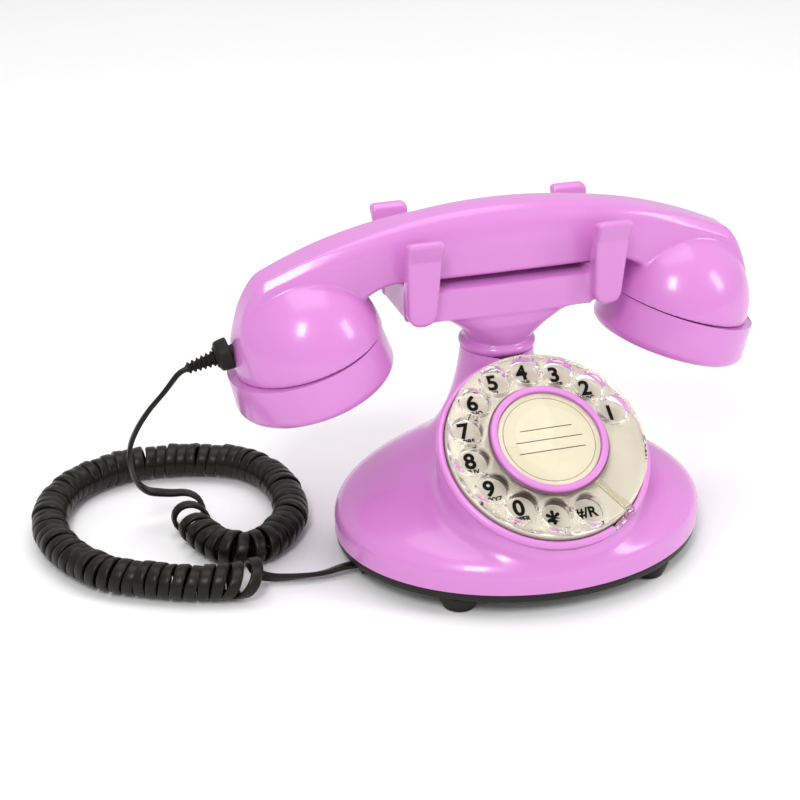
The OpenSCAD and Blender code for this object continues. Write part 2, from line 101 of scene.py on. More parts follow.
def cup_space(side):
    return (row_space @ Matrix.Translation((side * CUP_X, CRADLE_Y, CUP_Z))
            @ Matrix.Rotation(side * CUP_TILT, 4, "Y") @ Matrix.Rotation(math.pi, 4, "X"))


# ---------------------------------------------------------------- materials
materials = {}


def material(name, colour, rough=0.35, metal=0.0, coat=0.0, vary=0.04, grain=400.0, bump=0.02,
             clear=0.0, ior=1.5, streak=(1, 1, 1), shine=0.5):
    """A moulded, metal or rubber finish: colour and gloss drift a little, over a fine surface grain."""
    m = bpy.data.materials.new(name)
    m.use_nodes = True
    tree = m.node_tree
    shader = tree.nodes["Principled BSDF"]
    shader.inputs["Metallic"].default_value = metal
    shader.inputs["Coat Weight"].default_value = coat
    shader.inputs["Coat Roughness"].default_value = 0.06
    shader.inputs["IOR"].default_value = ior
    shader.inputs["Specular IOR Level"].default_value = shine
    shader.inputs["Transmission Weight"].default_value = clear
    place = tree.nodes.new("ShaderNodeTexCoord")
    stretch = tree.nodes.new("ShaderNodeMapping")
    stretch.inputs["Scale"].default_value = streak
    drift = tree.nodes.new("ShaderNodeTexNoise")
    drift.inputs["Scale"].default_value = grain / 12
    drift.inputs["Detail"].default_value = 3
    fine = tree.nodes.new("ShaderNodeTexNoise")
    fine.inputs["Scale"].default_value = grain
    fine.inputs["Detail"].default_value = 2
    tree.links.new(place.outputs["Object"], stretch.inputs["Vector"])
    for noise in (drift, fine):
        tree.links.new(stretch.outputs["Vector"], noise.inputs["Vector"])
    tint = tree.nodes.new("ShaderNodeValToRGB")
    tint.color_ramp.elements[0].position = 0.3
    tint.color_ramp.elements[1].position = 0.7
    tint.color_ramp.elements[0].color = [c * (1 - vary) for c in colour] + [1]
    tint.color_ramp.elements[1].color = [min(1, c * (1 + vary)) for c in colour] + [1]
    gloss = tree.nodes.new("ShaderNodeMapRange")
    gloss.inputs["To Min"].default_value = rough * 0.85
    gloss.inputs["To Max"].default_value = rough * 1.15
    relief = tree.nodes.new("ShaderNodeBump")
    relief.inputs["Strength"].default_value = bump
    relief.inputs["Distance"].default_value = 0.0002
    tree.links.new(drift.outputs["Fac"], tint.inputs["Fac"])
    tree.links.new(tint.outputs["Color"], shader.inputs["Base Color"])
    tree.links.new(drift.outputs["Fac"], gloss.inputs["Value"])
    tree.links.new(gloss.outputs["Result"], shader.inputs["Roughness"])
    tree.links.new(fine.outputs["Fac"], relief.inputs["Height"])
    tree.links.new(relief.outputs["Normal"], shader.inputs["Normal"])
    materials[name] = m
    return m


material("pink_gloss", (0.635, 0.225, 0.6), rough=0.26, coat=0.35, vary=0.012, grain=260, bump=0.012)
material("black_plastic", (0.012, 0.0105, 0.0075), rough=0.4, vary=0.1, grain=700, bump=0.12, shine=0.25)
material("black_rubber", (0.011, 0.01, 0.0075), rough=0.5, vary=0.12, grain=900, bump=0.2, shine=0.2)
material("black_cord", (0.0065, 0.0055, 0.003), rough=0.33, vary=0.15, grain=500, bump=0.08, shine=0.25)
material("clear_acrylic", (0.98, 0.98, 0.965), rough=0.03, clear=1.0, ior=1.3, vary=0.005, grain=60, bump=0.004)
material("smoke_acrylic", (0.80, 0.775, 0.68), rough=0.05, clear=1.0, ior=1.4, vary=0.01, grain=60, bump=0.004)
material("champagne_plate", (0.47, 0.43, 0.35), rough=0.4, metal=0.35, vary=0.03, grain=900, bump=0.05)
material("cream_card", (0.47, 0.42, 0.305), rough=0.7, vary=0.02, grain=1500, bump=0.1)
material("steel", (0.55, 0.55, 0.56), rough=0.3, metal=1.0, vary=0.06, grain=300, bump=0.08, streak=(1, 1, 8))
material("brass", (0.72, 0.50, 0.20), rough=0.28, metal=1.0, vary=0.08, grain=250, bump=0.06, streak=(1, 1, 5))
material("iron_weight", (0.07, 0.07, 0.072), rough=0.6, metal=0.8, vary=0.2, grain=350, bump=0.35)
material("copper_coil", (0.42, 0.13, 0.05), rough=0.3, metal=0.9, vary=0.1, grain=200, bump=0.3, streak=(1, 30, 1))
material("circuit_board", (0.01, 0.09, 0.03), rough=0.35, vary=0.15, grain=500, bump=0.05)
material("capsule_case", (0.6, 0.6, 0.58), rough=0.35, metal=1.0, vary=0.04, grain=400, bump=0.05)
material("print_ink", (0.004, 0.004, 0.004), rough=0.8, vary=0.1, grain=900, bump=0.02, shine=0.1)
material("edge_line", (0.19, 0.09, 0.13), rough=0.35, vary=0.1, grain=600, bump=0.02)
material("table_top", (0.93, 0.93, 0.93), rough=0.75, vary=0.004, grain=30, bump=0.01)

for part in frame["record"]["subparts"]:
    node = frame["nodes"][part["node"]]
    if not node.material_slots:
        node.data.materials.append(materials[part["material_slot"]])
    for held in node.material_slots:
        held.material = materials[part["material_slot"]]


# ---------------------------------------------------------------- piece helpers
def piece(name, mesh, look, body, stands_for=(), smooth=True, sharp=35):
    """Adds a mesh as a piece on a body, with its finish and the CAD nodes it stands for."""
    obj = bpy.data.objects.new(name, mesh)
    scene.collection.objects.link(obj)
    mesh.materials.append(materials[look])
    if smooth:
        mesh.shade_smooth()
        mesh.set_sharp_from_angle(angle=math.radians(sharp))
    if body:
        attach(obj, body)
    if stands_for:
        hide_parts(*stands_for)
    return obj


def mesh_of(name, points, faces, space=row_space):
    mesh = bpy.data.meshes.new(name)
    mesh.from_pydata([tuple(space @ Vector(p)) for p in points], [], faces)
    if space.determinant() < 0:
        mesh.flip_normals()
    mesh.update()
    return mesh


def lathe(name, outline, space=row_space, sides=128):
    """A turned solid: the outline is a closed list of (radius, height); radius 0 is the axis."""
    points, rings = [], []
    for radius, height in outline:
        if radius < 1e-6:
            rings.append([len(points)] * sides)
            points.append((0, 0, height))
        else:
            rings.append(list(range(len(points), len(points) + sides)))
            points += [(radius * math.cos(2 * math.pi * k / sides), radius * math.sin(2 * math.pi * k / sides),
                        height) for k in range(sides)]
    faces = []
    closed = outline[0][0] > 1e-6 or outline[-1][0] > 1e-6
    for a, b in zip(rings, rings[1:] + rings[:1] if closed else rings[1:]):
        for k in range(sides):
            j = (k + 1) % sides
            face = list(dict.fromkeys((a[k], a[j], b[j], b[k])))
            if len(face) > 2:
                faces.append(face)
    mesh = mesh_of(name, points, faces, space)
    outward(mesh)
    return mesh


def outward(mesh):
    bm = bmesh.new()
    bm.from_mesh(mesh)
    bmesh.ops.recalc_face_normals(bm, faces=bm.faces)
    bm.to_mesh(mesh)
    bm.free()
    mesh.update()


def arc(cx, cz, r, start, end, steps=8):
    """Points (x, z) round a corner, for outlines."""
    return [(cx + r * math.cos(math.radians(start + (end - start) * k / steps)),
             cz + r * math.sin(math.radians(start + (end - start) * k / steps))) for k in range(steps + 1)]


def catmull(points, step):
    """Even points a step apart along the smooth curve through the given ones."""
    p = np.array(points, float)
    q = np.vstack([p[:1], p, p[-1:]])
    t = np.linspace(0, 1, 60, endpoint=False)[:, None]
    dense = []
    for a, b, c, d in zip(q, q[1:], q[2:], q[3:]):
        square, cube = 2 * a - 5 * b + 4 * c - d, 3 * b - a - 3 * c + d
        dense.append(0.5 * (2 * b + (c - a) * t + square * t ** 2 + cube * t ** 3))
    dense = np.vstack(dense + [p[-1:]])
    run = np.concatenate([[0], np.cumsum(np.linalg.norm(np.diff(dense, axis=0), axis=1))])
    even = np.linspace(0, run[-1], max(2, int(round(run[-1] / step)) + 1))
    return np.stack([np.interp(even, run, dense[:, k]) for k in range(3)], axis=1)


def unit(v):
    return v / np.linalg.norm(v, axis=-1, keepdims=True)


def tangents(p):
    return unit(np.gradient(p, axis=0))


# ---------------------------------------------------------------- handset cord
# From under the base, along the table, round the curl, and up the lead to the handset's boot.
TAIL = [(-114, -4.6, 5.4), (-111, -5, 3.8), (-106, -5.8, 2.8), (-97, -7.2, 2.6), (-87, -8, 2.8), (-79, -8, 4.2),
        (-72.1, -8, 4.4)]
CURL = [(-131, 54, 8), (-131, 42, 8), (-128, 28, 8), (-122, 17, 8), (-112, 13, 8), (-100, 20, 8), (-90, 35, 8),
        (-87, 54, 8), (-90, 74, 8), (-100, 89, 8), (-116, 97, 8), (-133, 101, 8), (-150, 101, 8), (-166, 95, 8),
        (-179, 84, 8), (-187, 68, 8), (-189, 50, 8), (-185, 32, 8), (-174, 13, 8), (-160, 3, 8), (-147, -4, 8),
        (-136, -8, 8), (-126, -10, 8), (-117, -10, 8)]
LEAD = [(-133.4, 28.6, 84.4), (-135.2, 28.6, 83.6), (-138, 28.6, 80.4), (-142, 28.7, 75.5), (-148, 29, 69),
        (-153, 30.5, 61), (-156, 33.5, 52), (-156, 38, 43), (-154.5, 44, 34), (-151.5, 50, 25), (-147, 54.5, 18.5),
        (-141.5, 56.8, 15.6), (-136, 56.8, 14.4)]
BOOT_MOUTH = (-131.6, 28.6, 84.9)
TURN_PITCH = 4.95
TURN_STEPS = 22
LAST_ANGLE = 75.0
FLATNESS = 0.9
START_OPENING, START_RUN = 5.0, 25
END_OPENING, END_RUN = 2.2, 9


def helix(route):
    """Centreline of the wound cord round a route, and its outward direction: open turns at both ends."""
    axis = catmull(route, 0.2)
    run = np.arange(len(axis)) * 0.2
    left = run[-1] - run
    pitch = TURN_PITCH + START_OPENING * np.exp(-(run / START_RUN) ** 4)
    pitch += END_OPENING * np.exp(-(left / END_RUN) ** 2)
    angle = np.concatenate([[0], np.cumsum(0.2 / pitch[1:])])
    angle *= (math.floor(angle[-1]) + LAST_ANGLE / 360) / angle[-1] * 2 * math.pi
    uneven = 0.17 * np.sin(2.4 * angle / (2 * math.pi)) + 0.13 * np.sin(5.1 * angle / (2 * math.pi) + 1)
    radius = CURL_D / 2 - CORD_T / 2 + uneven
    wide = radius * (1 + 0.3 * np.exp(-((left - 3) / 8) ** 2))
    high = radius * FLATNESS
    slant = 3.6 * np.exp(-(left / 14) ** 2) - 2.6 * np.exp(-(run / 22) ** 2)
    axis[:, 2] = high + CORD_T / 2 + 0.05
    ahead = tangents(axis)
    even = np.linspace(0, angle[-1], int(angle[-1] / (2 * math.pi) * TURN_STEPS))
    pick = np.interp(even, angle, run)
    at = lambda table: np.stack([np.interp(pick, run, table[:, k]) for k in range(3)], axis=1)
    side = unit(np.cross((0, 0, 1), ahead))
    up = np.cross(ahead, side)
    c, s = np.cos(even)[:, None], np.sin(even)[:, None]
    of = lambda values: np.interp(pick, run, values)[:, None]
    out = unit(c * at(up) / of(high) + s * at(side) / of(wide))
    return at(axis) + c * of(high) * at(up) + s * of(wide) * at(side) + c * of(slant) * at(ahead), out


def carried(route, start):
    """A direction carried along a route without twist, from a starting direction."""
    ahead = tangents(route)
    out = [start]
    for t in ahead:
        d = out[-1] - t * np.dot(out[-1], t)
        out.append(d / np.linalg.norm(d))
    return np.array(out[1:])


def turned_to(out, route, target):
    """The carried direction with an even twist added, so that it ends at a wanted one."""
    t = unit(route[-1] - route[-2])
    target = unit(target - t * np.dot(target, t))
    angle = math.atan2(np.dot(np.cross(out[-1], target), t), np.dot(out[-1], target))
    a = (angle * np.linspace(0, 1, len(out)) ** 0.8)[:, None]
    return out * np.cos(a) + np.cross(tangents(route), out) * np.sin(a)


wound, wound_out = helix(CURL)
lead = catmull([wound[0]] + LEAD[::-1] + [BOOT_MOUTH], 1.2)
tail = catmull([wound[-1]] + TAIL, 1.2)
lead_out = carried(lead, wound_out[0])
lead_out = turned_to(lead_out, lead, np.array((0.6, -0.5, -0.6)))
tail_out = carried(tail, wound_out[-1])
tail_out = turned_to(tail_out, tail, np.array((0.0, 0.0, 1.0)))
line = np.vstack([tail[::-1], wound[-2:0:-1], lead])
line_out = np.vstack([tail_out[::-1], wound_out[-2:0:-1], lead_out])
for _ in range(3):
    line[1:-1] = (line[:-2] + 2 * line[1:-1] + line[2:]) / 4
    line_out[1:-1] = (line_out[:-2] + 2 * line_out[1:-1] + line_out[2:]) / 4
line_out = unit(line_out - tangents(line) * np.sum(line_out * tangents(line), axis=1, keepdims=True))
across = np.cross(tangents(line), line_out)
PROFILE = [(math.copysign(abs(math.cos(a)) ** 0.5, math.cos(a)), math.copysign(abs(math.sin(a)) ** 0.62, math.sin(a)))
           for a in (2 * math.pi * k / 14 for k in range(14))]
cord_points = np.concatenate([[p + w * CORD_W / 2 * across[i] + h * CORD_T / 2 * line_out[i] for w, h in PROFILE]
                              for i, p in enumerate(line)])
sides = len(PROFILE)
cord_faces = [(i * sides + k, i * sides + (k + 1) % sides, (i + 1) * sides + (k + 1) % sides, (i + 1) * sides + k)
              for i in range(len(line) - 1) for k in range(sides)]
cord_faces += [tuple(range(sides)), tuple(range((len(line) - 1) * sides, len(line) * sides))]
cord_mesh = mesh_of("handset_cord", cord_points, cord_faces)
outward(cord_mesh)
cord = piece("handset_cord", cord_mesh, "black_cord", None, ("cord_lead", "cord_curl", "cord_tail"), sharp=60)

BOOT_AT, BOOT_TILT, BOOT_RIBS, BOOT_TIP = (-112, CRADLE_Y, 90.3), -105, 6, 21.3
boot_space = row_space @ Matrix.Translation(BOOT_AT) @ Matrix.Rotation(math.radians(BOOT_TILT), 4, "Y")
boot_outline = ([(0, -4.5), (2.9, -4.5), (2.9, 2.4), (6.3, 2.4)] + arc(6.0, 3.0, 0.6, -60, 10, 4) + [(6.5, 5.0)]
                + arc(4.7, 6.5, 1.6, 10, 80, 5) + [(4.4, 8.3), (4.2, 8.8)])
for k in range(BOOT_RIBS):
    r, z = 3.3 - 0.17 * k, 9.1 + 2.05 * k
    boot_outline += [(r - 0.9, z - 0.3)] + arc(r - 0.35, z + 0.5, 0.4, -80, 80, 4) + [(r - 0.9, z + 1.3)]
boot_outline += [(1.5, BOOT_TIP - 0.2), (1.3, BOOT_TIP), (0, BOOT_TIP)]
boot = piece("cord_boot_ribbed", lathe("cord_boot_ribbed", boot_outline, boot_space, 64), "black_rubber", "handset",
             ("cord_boot",))

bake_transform(cord)


# ---------------------------------------------------------------- distance fields, in millimetres
def least(a, b, k):
    """Union of two fields with a fillet of size k."""
    h = np.clip(0.5 + 0.5 * (b - a) / k, 0, 1)
    return b * (1 - h) + a * h - k * h * (1 - h)


def most(a, b, k):
    """Intersection of two fields with an edge rounded by k."""
    return -least(-a, -b, k)


def gradient(field, p, h=0.05):
    g = np.empty_like(p)
    for k in range(3):
        d = np.zeros(3)
        d[k] = h
        g[..., k] = (field(p + d) - field(p - d)) / (2 * h)
    return g


def true_distance(field):
    """The field scaled so that it grows by about one millimetre per millimetre near its surface."""
    return lambda p: field(p) / np.maximum(np.linalg.norm(gradient(field, p), axis=-1), 0.2)


def box_field(p, low, high):
    low, high = np.array(low, float), np.array(high, float)
    q = np.abs(p - (low + high) / 2) - (high - low) / 2
    return np.linalg.norm(np.maximum(q, 0), axis=-1) + np.minimum(q.max(axis=-1), 0)


def polygon_field(x, y, corners):
    """Signed distance to a flat polygon."""
    c = np.array(corners, float)
    best = np.full(x.shape, 1e9)
    inside = np.zeros(x.shape, bool)
    for (ax, ay), (bx, by) in zip(c, np.roll(c, 1, axis=0)):
        ex, ey = bx - ax, by - ay
        wx, wy = x - ax, y - ay
        t = np.clip((wx * ex + wy * ey) / (ex * ex + ey * ey), 0, 1)
        best = np.minimum(best, (wx - ex * t) ** 2 + (wy - ey * t) ** 2)
        crosses = (ay > y) != (by > y)
        with np.errstate(divide="ignore", invalid="ignore"):
            inside ^= crosses & (x < (bx - ax) * (y - ay) / (by - ay if by != ay else 1e-9) + ax)
    return np.where(inside, -1, 1) * np.sqrt(best)


def surface(name, field, low, high, cell, space=row_space, steps=4):
    """Smooth closed mesh of the surface where the field is zero: one vertex per crossed grid cell, moved onto it."""
    cell = cell * FINE
    axes = [np.arange(a, b + cell, cell) for a, b in zip(low, high)]
    grid = np.stack(np.meshgrid(*axes, indexing="ij"), axis=-1)
    f = np.concatenate([field(part) for part in np.array_split(grid, max(1, grid.size // 1500000), axis=0)])
    size = np.array(f.shape) - 1
    total = np.zeros(tuple(size) + (3,))
    count = np.zeros(tuple(size))
    crossings = []
    for k in range(3):
        a = f[tuple(slice(0, -1) if j == k else slice(None) for j in range(3))]
        b = f[tuple(slice(1, None) if j == k else slice(None) for j in range(3))]
        crossed = (a < 0) != (b < 0)
        where = np.argwhere(crossed)
        fa, fb = a[crossed], b[crossed]
        spot = where.astype(float)
        spot[:, k] += fa / (fa - fb)
        crossings.append((k, where, fa < 0))
        u, v = [j for j in range(3) if j != k]
        for du in (0, 1):
            for dv in (0, 1):
                c = where.copy()
                c[:, u] -= du
                c[:, v] -= dv
                ok = ((c >= 0) & (c < size)).all(axis=1)
                np.add.at(total, tuple(c[ok].T), spot[ok])
                np.add.at(count, tuple(c[ok].T), 1)
    used = count > 0
    number = np.full(tuple(size), -1)
    number[used] = np.arange(used.sum())
    points = total[used] / count[used][:, None] * cell + np.array([a[0] for a in axes])
    faces = []
    for k, where, from_inside in crossings:
        u, v = (k + 1) % 3, (k + 2) % 3
        corner = []
        for du, dv in ((0, 0), (1, 0), (1, 1), (0, 1)):
            c = where.copy()
            c[:, u] -= du
            c[:, v] -= dv
            ok = ((c >= 0) & (c < size)).all(axis=1)
            c[~ok] = 0
            corner.append(np.where(ok, number[tuple(c.T)], -1))
        quad = np.stack(corner, axis=1)
        keep = (quad >= 0).all(axis=1)
        quad = np.where(from_inside[:, None], quad, quad[:, ::-1])[keep]
        faces.append(quad)
    faces = np.vstack(faces)
    for _ in range(steps):
        g = gradient(field, points)
        move = field(points)[:, None] * g / np.maximum(np.sum(g * g, axis=1, keepdims=True), 0.05)
        far = np.linalg.norm(move, axis=1, keepdims=True)
        points = points - move * np.minimum(1, cell / np.maximum(far, 1e-9))
    return mesh_of(name, points, faces.tolist(), space)


def cut(mesh, point, normal):
    """Removes what lies beyond a plane given in millimetres, and leaves it open there."""
    bm = bmesh.new()
    bm.from_mesh(mesh)
    bmesh.ops.bisect_plane(bm, geom=bm.verts[:] + bm.edges[:] + bm.faces[:], dist=1e-7,
                           plane_co=Vector(point) * MM, plane_no=Vector(normal), clear_outer=True)
    bm.to_mesh(mesh)
    bm.free()
    mesh.update()


def thicken(obj, wall):
    """Gives an open skin its wall, inwards."""
    solid = obj.modifiers.new("wall", "SOLIDIFY")
    solid.thickness = wall * MM
    solid.offset = -1


def row_of(v):
    """A direction in dial space as a direction in the row frame."""
    return Matrix.Rotation(DIAL_TILT, 3, "X") @ Vector(v)


def row_point(p):
    return Vector((0, DIAL_Y, DIAL_Z)) + row_of(p)


def dial_coordinates(p):
    c, s = math.cos(DIAL_TILT), math.sin(DIAL_TILT)
    y, z = p[..., 1] - DIAL_Y, p[..., 2] - DIAL_Z
    return p[..., 0], y * c + z * s, z * c - y * s


# ---------------------------------------------------------------- base shell
def bezier(points, n):
    t = np.linspace(0, 1, n)[:, None]
    a, b, c, d = (np.array(q, float) for q in points)
    return (1 - t) ** 3 * a + 3 * t * (1 - t) ** 2 * b + 3 * t * t * (1 - t) * c + t ** 3 * d


SHOULDER = [(BASE_A, 18), (BASE_A - 1, 28), (57, 32), (36, 39.2)]
FLARE = [(36, 39.2), (26, 43), (17.3, 55), (NECK_R, NECK_TOP)]
bell_line = np.vstack([[(BASE_A, 0)], bezier(SHOULDER, 60), bezier(FLARE, 60)[1:], [(NECK_R, 100)]])


def bell_radial(p):
    half = np.interp(p[..., 2], bell_line[:, 1], bell_line[:, 0])
    inward = (BASE_A - half) / (BASE_A - NECK_R)
    deep = BASE_B + (NECK_R - BASE_B) * inward
    along, across_it = p[..., 0] / half, (p[..., 1] - CRADLE_Y * inward) / deep
    return (np.sqrt(along ** 2 + across_it ** 2) - 1) * np.minimum(half, deep)


bell = true_distance(bell_radial)


def drum(p):
    x, y, s = dial_coordinates(p)
    r = np.sqrt(x * x + y * y)
    side = r - np.interp(s, (-34, -30, -16, -10, -3, 6), (36, 37, 41.4, 42.7, 42.8, 42.8))
    return most(side, -31 - s, 6)


def base_field(p):
    return least(bell(p), most(drum(p), dial_coordinates(p)[2] - 3, 0.5), 9)


shell = surface("base_shell_skin", base_field, (-80, -76, 6), (80, 66, 84), 1.15)
cut(shell, (0, 0, SHELL_Z), (0, 0, -1))
cut(shell, (0, 0, NECK_TOP), (0, 0, 1))
cut(shell, row_point((0, 0, -3)), row_of((0, 0, 1)))
shell_obj = piece("base_shell_skin", shell, "pink_gloss", "base", ("base_shell",), sharp=50)
thicken(shell_obj, SHELL_WALL)


def carve(obj, name, bm):
    """Cuts the solids in bm out of a piece, and frees bm."""
    mesh = bpy.data.meshes.new(name)
    bm.to_mesh(mesh)
    bm.free()
    tool = bpy.data.objects.new(name, mesh)
    scene.collection.objects.link(tool)
    step = obj.modifiers.new(name, "BOOLEAN")
    step.operation, step.object, step.solver = "DIFFERENCE", tool, "EXACT"
    done = bpy.data.meshes.new_from_object(obj.evaluated_get(bpy.context.evaluated_depsgraph_get()))
    obj.modifiers.clear()
    old = obj.data
    obj.data = done
    done.name = old.name
    bpy.data.meshes.remove(old)
    bpy.data.objects.remove(tool)


def cutter(name, low, high, obj):
    """Cuts a square opening through a piece."""
    bm = bmesh.new()
    bmesh.ops.create_cube(bm, size=1)
    for v in bm.verts:
        v.co = Vector([(low[k] + high[k]) / 2 + v.co[k] * (high[k] - low[k]) for k in range(3)]) * MM
    carve(obj, name, bm)


cutter("socket_window", (9.6, 50, 8), (23.8, 70, 24), shell_obj)
cutter("slider_window", (-29, 50, SHELL_Z + 3), (-15, 70, SHELL_Z + 7.4), shell_obj)

# ---------------------------------------------------------------- bottom plate, feet, gland
ovals = [(1.6, 7.0), (0.9, 7.3), (0.6, 8.0), (0.6, 10.2), (0.8, 10.9)]
plate_points, plate_faces, n = [], [], 160
for gap, z in ovals:
    for a in (2 * math.pi * k / n for k in range(n)):
        plate_points.append(((BASE_A - gap) * math.cos(a), (BASE_B - gap) * math.sin(a), z))
for i in range(len(ovals) - 1):
    plate_faces += [(i * n + k, i * n + (k + 1) % n, (i + 1) * n + (k + 1) % n, (i + 1) * n + k) for k in range(n)]
plate_faces += [tuple(range(n))[::-1], tuple(range((len(ovals) - 1) * n, len(ovals) * n))]
piece("base_plate_oval", mesh_of("base_plate_oval", plate_points, plate_faces), "black_plastic", "base",
      ("base_plate",))

FOOT_X, FOOT_Y = 41, 43
foot_outline = [(0, 0), (5.6, 0)] + arc(5.9, 0.9, 0.9, -70, 0, 4) + [(7.6, 2.6), (8.6, 5.2), (9, 7), (0, 7)]
feet = bmesh.new()
for sx in (-1, 1):
    for sy in (-1, 1):
        foot = lathe("foot", foot_outline, row_space @ Matrix.Translation((sx * FOOT_X, sy * FOOT_Y, 0)), 64)
        feet.from_mesh(foot)
        bpy.data.meshes.remove(foot)
feet_mesh = bpy.data.meshes.new("rubber_feet_turned")
feet.to_mesh(feet_mesh)
feet.free()
piece("rubber_feet_turned", feet_mesh, "black_rubber", "base", ("rubber_feet",))


# ---------------------------------------------------------------- cradle
arch_t = np.linspace(0, 1, 40)
arch_z = SADDLE_LOW + 14.5 * np.sin(arch_t * math.pi / 2) ** 1.4
arch_a = 33.5 - 18.9 * np.cos(arch_t * math.pi / 2) ** 1.4
PRONG_FRONT = (arc(0, 105, 6, 180, 360, 12) + [(7.3, 130)] + arc(5.2, PRONG_TOP - 2.5, 2.5, 0, 90, 4)
               + arc(-5.2, PRONG_TOP - 2.5, 2.5, 90, 180, 4) + [(-7.3, 130)])
PRONG_SIDE = [(14.2, 98), (21, 98), (22.6, 101), (24.4, 128), (27.2, PRONG_TOP - 1.5), (26.4, PRONG_TOP),
              (24.2, PRONG_TOP), (21.7, PRONG_TOP - 1.5), (17, 122), (15.2, 114.2), (14.2, 112)]
NECK_BEAD = ([(0, NECK_TOP), (15.4, NECK_TOP)] + arc(14.2, NECK_TOP + 2.1, 2.1, -50, 60, 8)
             + [(14.3, 83.2), (14.3, 85.2), (0, 85.2)])


def saddle_radial(p):
    z = p[..., 2]
    half = np.interp(z, arch_z, arch_a)
    t = np.interp(z, arch_z, arch_t)
    deep = 14.6 + 2 * np.minimum(1, t * 2)
    power = 2 + 3 * t
    x, y = np.abs(p[..., 0]) / half + 1e-6, np.abs(p[..., 1]) / deep + 1e-6
    return ((x ** power + y ** power) ** (1 / power) - 1) * deep


saddle = true_distance(saddle_radial)


def cradle_field(p):
    """Field round the cradle's own axis."""
    x, y, z = np.abs(p[..., 0]), np.abs(p[..., 1]), p[..., 2]
    seat = most(most(saddle(p), z - SADDLE_TOP, 1.0), SADDLE_LOW - 0.1 - z, 0.3)
    across_web = box_field(np.stack([x, y, z], axis=-1), (25, -16, 100.6), (45.2, 16, REST_Z - 0.3))
    prong = most(polygon_field(x - 40, z, PRONG_FRONT), polygon_field(y, z, PRONG_SIDE), 1.5)
    web = most(across_web, 34.4 - x, 0.5)
    bead = polygon_field(np.sqrt(x * x + y * y), z, NECK_BEAD)
    spigot = np.maximum(np.maximum(np.sqrt(x * x + y * y) - 12.3, z - 82), 70 - z)
    block = box_field(np.stack([x, y, z], axis=-1), (-1, -16.6, 98.4), (35, 16.6, SADDLE_TOP))
    f = least(least(seat, block, 1.0), least(web, prong, 2.2), 2.2)
    f = least(least(f, bead, 1.2), spigot, 0.5)
    slot = box_field(np.stack([x, y, z], axis=-1), (-1, -4, 104), (31, 4, 118))
    bore = np.sqrt(x * x + y * y) - 2.55
    wide = np.maximum(np.sqrt(x * x + y * y) - 7, z - 79)
    return most(most(most(f, -slot, 0.6), -bore, 0.3), -wide, 0.3)


cradle_space = row_space @ Matrix.Translation((0, CRADLE_Y, 0))
piece("cradle_moulded", surface("cradle_moulded", cradle_field, (-49, -29, 69), (49, 29, 137), 0.75, cradle_space),
      "pink_gloss", "base", ("cradle",), sharp=60)


def hook_field(p):
    return box_field(p, (-28.2, -2.2, 106), (28.2, 2.2, REST_Z - 1.1)) - 0.8


piece("hook_bar_moulded", surface("hook_bar_moulded", hook_field, (-30, -4, 104), (30, 4, 117), 0.5, cradle_space),
      "pink_gloss", "hook", ("hook_bar",), sharp=60)


# ---------------------------------------------------------------- handset
def handle_field(p):
    x, y, z = np.abs(p[..., 0]), np.abs(p[..., 1]), p[..., 2]
    top = HANDLE_TOP - ARC_R + np.sqrt(np.maximum(ARC_R ** 2 - x * x, 1)) - 0.1 * np.maximum(0, x - 100) ** 2
    u = np.clip((x - 46) / 20, 0, 1)
    low = REST_Z - 10 * u * u - 0.35 * np.maximum(0, x - 66)
    half = HANDLE_W / 2 - 4 * np.minimum(1, x / 100) ** 2
    sides_in = y - half
    bevel = ((y - half) * 0.83 + (z - top) * 0.56 + 2.4)
    soft = np.clip((84 - x) / 50, 0, 1) ** 1.5
    f = most(most(sides_in, z - top, 0.5 + 6 * soft), bevel, 0.6 + 6 * soft)
    f = most(f, low - z, 2.0)
    return most(f, x - 111, 2.5)


def handset_field(p):
    dome = np.sqrt((np.abs(p[..., 0]) - DOME_X) ** 2 + p[..., 1] ** 2 + (p[..., 2] - DOME_Z) ** 2) - DOME_R
    return least(true_handle(p), dome, 1.6)


true_handle = true_distance(handle_field)
handset = surface("handset_shell_skin", handset_field, (-116, -34, 55), (2, 34, 144), 0.9, cradle_space)
cut(handset, (0, 0, 0), (1, 0, 0))
cut(handset, (-CUP_X, CRADLE_Y, CUP_Z), (math.sin(CUP_TILT), 0, -math.cos(CUP_TILT)))
bm = bmesh.new()
bm.from_mesh(handset)
bmesh.ops.mirror(bm, geom=bm.verts[:] + bm.edges[:] + bm.faces[:], axis="X", merge_dist=1e-5)
bmesh.ops.remove_doubles(bm, verts=bm.verts, dist=1e-6)
bmesh.ops.recalc_face_normals(bm, faces=bm.faces)
bm.to_mesh(handset)
bm.free()
handset_obj = piece("handset_shell_skin", handset, "pink_gloss", "handset", ("handset_shell",), sharp=60)
thicken(handset_obj, HANDSET_WALL)

# caps of the receiver and the transmitter, with their sound holes
cap_outline = ([(20, CAP_H - 3.4), (27, CAP_H - 0.6)] + arc(RIM_R - 4.5, CAP_H - 4.5, 4.5, 90, 0, 10)
               + [(CAP_R + 0.1, 1.2)] + arc(CAP_R - 0.45, 0.45, 0.45, 0, 90, 4)
               + [(CAP_R - 6.5, 0), (CAP_R - 6.5, 1.6), (CAP_R - 2.6, 2.4), (RIM_R - 2.6, CAP_H - 6),
                  (RIM_R - 8, CAP_H - 7.4), (0, CAP_H - 7.4), (0, CAP_H - 4.5)])


